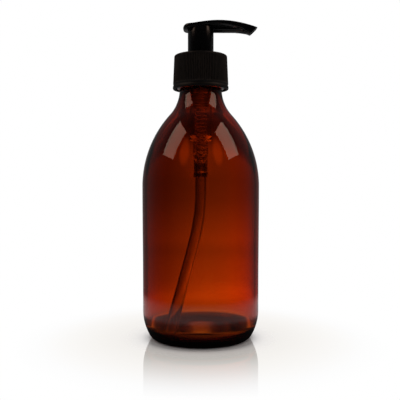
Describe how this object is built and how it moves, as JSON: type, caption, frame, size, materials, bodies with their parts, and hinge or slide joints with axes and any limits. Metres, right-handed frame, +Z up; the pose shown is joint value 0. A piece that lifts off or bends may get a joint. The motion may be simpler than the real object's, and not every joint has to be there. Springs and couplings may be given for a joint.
{
  "type": "soap pump dispenser",
  "caption": "Round amber glass bottle with a ribbed black screw collar and a lotion pump whose spring-loaded, turn-to-lock head has a drooping spout.",
  "frame": {"origin": "centre of the bottle's base, on the plane it stands on", "axes": "+Z up along the bottle's axis; +X towards the spout's tip when the head is unlocked"},
  "size_m": [0.066, 0.066, 0.1788],
  "materials": {
    "amber_glass": "clear amber moulded glass, fire polished",
    "matte_black": "fine satin black moulding",
    "gloss_black": "polished black moulding",
    "natural_plastic": "translucent natural polypropylene",
    "soft_seal": "soft white polyethylene",
    "spring_steel": "drawn stainless wire",
    "ball_steel": "polished stainless ball"
  },
  "bodies": {
    "bottle": {"bottle": "amber_glass"},
    "pump_body": {"housing": "natural_plastic", "lock_ring": "gloss_black", "gasket": "soft_seal", "dip_tube": "natural_plastic", "spring": "spring_steel"},
    "collar": {"collar": "matte_black"},
    "plunger": {"stem": "natural_plastic", "piston_rod": "natural_plastic"},
    "head": {"head": "gloss_black"},
    "piston": {"piston": "soft_seal"},
    "inlet_ball": {"inlet_ball": "ball_steel"}
  },
  "joints": [
    {"name": "pump_lift", "type": "slide", "parent": "bottle", "child": "pump_body", "axis": [0, 0, 1], "range_m": [0, 0.00634]},
    {"name": "collar_turn", "type": "hinge", "parent": "pump_body", "child": "collar", "pos_m": [0, 0, 0.15], "axis": [0, 0, 1], "range_deg": [0, 540]},
    {"name": "press", "type": "slide", "parent": "pump_body", "child": "plunger", "axis": [0, 0, 1], "range_m": [-0.011, 0], "stiffness_N_per_m": 800, "springref_m": 0.006, "deforming": ["spring"]},
    {"name": "head_turn", "type": "hinge", "parent": "plunger", "child": "head", "pos_m": [0, 0, 0.165], "axis": [0, 0, 1], "range_deg": [0, 90]},
    {"name": "piston_slip", "type": "slide", "parent": "plunger", "child": "piston", "axis": [0, 0, 1], "range_m": [0, 0.0012]},
    {"name": "ball_lift", "type": "slide", "parent": "pump_body", "child": "inlet_ball", "axis": [0, 0, 1], "range_m": [0, 0.0017]}
  ],
  "couplings": [
    {"joint": "collar_turn", "follows": "pump_lift", "rad_per_m": 1484.3}
  ]
}
